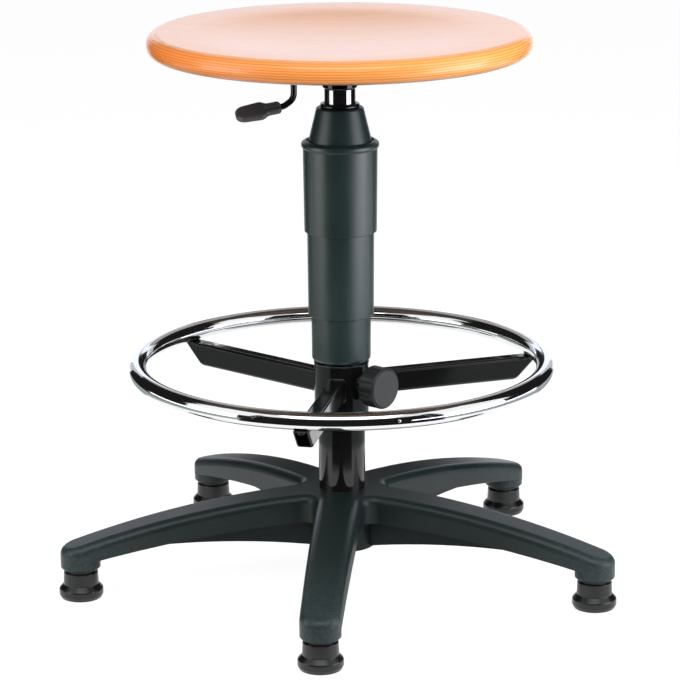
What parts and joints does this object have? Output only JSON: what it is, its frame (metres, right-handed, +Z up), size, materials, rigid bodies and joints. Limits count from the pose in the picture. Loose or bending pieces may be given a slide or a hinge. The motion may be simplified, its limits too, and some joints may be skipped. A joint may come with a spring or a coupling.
{
  "type": "draughtsman stool",
  "caption": "Tall draughtsman stool: round dished wooden seat on a covered gas lift with release lever, clamped sliding foot ring and star base on glides.",
  "frame": {"origin": "on the floor, under the column's axis", "axes": "+Z up; -Y is the front, the side the picture is taken from; +X to the right in the picture"},
  "size_m": [0.587, 0.5737, 0.5935],
  "materials": {
    "seat_wood": "glossy clear lacquer",
    "black_plastic": "satin, finely grained",
    "base_plastic": "satin, finely grained",
    "glide_plastic": "satin",
    "sole_plastic": "worn smooth",
    "black_paint": "gloss",
    "plate_paint": "satin",
    "chrome": "mirror",
    "steel": "bright",
    "dark_steel": "black zinc",
    "brass": "turned",
    "rubber": "matte",
    "bush_plastic": "moulded"
  },
  "bodies": {
    "base": {"star_base": "base_plastic", "hub_ring": "steel", "column_tube": "black_paint", "guide_bush": "bush_plastic", "bearing_lower_race": "steel", "cover_lower": "black_plastic"},
    "swivel": {"piston_rod": "steel", "piston": "brass", "bearing_balls": "steel", "bearing_cage": "brass", "bearing_upper_race": "steel", "rod_buffer": "rubber", "rod_clip": "steel"},
    "seat_lift": {"gas_cylinder": "black_paint", "rod_guide": "bush_plastic", "valve_block": "brass", "cover_upper": "black_plastic", "cover_neck": "black_plastic", "taper_socket": "black_paint", "lever_housing": "plate_paint", "seat_plate": "plate_paint", "seat_screws": "steel", "seat_inserts": "steel", "seat_board": "seat_wood", "lever_pivot_pin": "steel"},
    "lever": {"lever_sleeve": "plate_paint", "lever_rod": "black_paint", "lever_paddle": "black_plastic"},
    "release": {"release_pin": "steel"},
    "cover_stage": {"cover_middle": "black_plastic"},
    "ring_slide": {"clamp_liner": "black_plastic"},
    "ring": {"ring_hub": "black_paint", "ring_arm_right": "black_paint", "ring_arm_left": "black_paint", "ring_arm_front": "black_paint", "foot_ring": "chrome", "arm_plugs": "black_plastic", "ring_screws": "steel", "clamp_nut": "black_paint"},
    "clamp_pad": {"pressure_pad": "brass"},
    "clamp_knob": {"clamp_knob": "black_plastic", "knob_cap": "black_plastic", "clamp_screw": "steel"},
    "glide_1": {"glide_cup_1": "glide_plastic", "glide_sole_1": "sole_plastic", "glide_stem_1": "dark_steel"},
    "glide_2": {"glide_cup_2": "glide_plastic", "glide_sole_2": "sole_plastic", "glide_stem_2": "dark_steel"},
    "glide_3": {"glide_cup_3": "glide_plastic", "glide_sole_3": "sole_plastic", "glide_stem_3": "dark_steel"},
    "glide_4": {"glide_cup_4": "glide_plastic", "glide_sole_4": "sole_plastic", "glide_stem_4": "dark_steel"},
    "glide_5": {"glide_cup_5": "glide_plastic", "glide_sole_5": "sole_plastic", "glide_stem_5": "dark_steel"}
  },
  "joints": [
    {"name": "seat_swivel", "type": "hinge", "parent": "base", "child": "swivel", "pos_m": [0, 0, 0.05], "axis": [0, 0, 1], "continuous": true},
    {"name": "seat_height", "type": "slide", "parent": "swivel", "child": "seat_lift", "axis": [0, 0, 1], "range_m": [-0.06, 0.14]},
    {"name": "lever_lift", "type": "hinge", "parent": "seat_lift", "child": "lever", "pos_m": [-0.02387, -0.00251, 0.5499], "axis": [-0.1045, 0.9945, 0], "range_deg": [0, 8], "stiffness_Nm_per_rad": 6, "springref_deg": -2.86},
    {"name": "release_press", "type": "slide", "parent": "seat_lift", "child": "release", "axis": [0, 0, 1], "range_m": [-0.0036, 0]},
    {"name": "cover_follow", "type": "slide", "parent": "base", "child": "cover_stage", "axis": [0, 0, 1], "range_m": [-0.0365, 0.0845]},
    {"name": "ring_height", "type": "slide", "parent": "base", "child": "ring_slide", "axis": [0, 0, 1], "range_m": [-0.065, 0]},
    {"name": "ring_turn", "type": "hinge", "parent": "ring_slide", "child": "ring", "pos_m": [0, 0, 0.21], "axis": [0, 0, 1], "continuous": true},
    {"name": "clamp_travel", "type": "slide", "parent": "ring", "child": "clamp_pad", "axis": [0.7431, -0.6691, 0], "range_m": [0, 0.003]},
    {"name": "knob_turn", "type": "hinge", "parent": "clamp_pad", "child": "clamp_knob", "pos_m": [0.03864, -0.03479, 0.22], "axis": [0.7431, -0.6691, 0], "range_deg": [0, 722]},
    {"name": "glide_turn_1", "type": "hinge", "parent": "base", "child": "glide_1", "pos_m": [-0.02236, -0.28412, 0.04], "axis": [0, 0, 1], "continuous": true},
    {"name": "glide_turn_2", "type": "hinge", "parent": "base", "child": "glide_2", "pos_m": [0.26331, -0.10906, 0.04], "axis": [0, 0, 1], "continuous": true},
    {"name": "glide_turn_3", "type": "hinge", "parent": "base", "child": "glide_3", "pos_m": [0.18509, 0.21672, 0.04], "axis": [0, 0, 1], "continuous": true},
    {"name": "glide_turn_4", "type": "hinge", "parent": "base", "child": "glide_4", "pos_m": [-0.14891, 0.243, 0.04], "axis": [0, 0, 1], "continuous": true},
    {"name": "glide_turn_5", "type": "hinge", "parent": "base", "child": "glide_5", "pos_m": [-0.27713, -0.06653, 0.04], "axis": [0, 0, 1], "continuous": true}
  ],
  "couplings": [
    {"joint": "release_press", "follows": "lever_lift", "m_per_rad": -0.025},
    {"joint": "cover_follow", "follows": "seat_height", "ratio": 0.6},
    {"joint": "knob_turn", "follows": "clamp_travel", "rad_per_m": 4188.8}
  ]
}
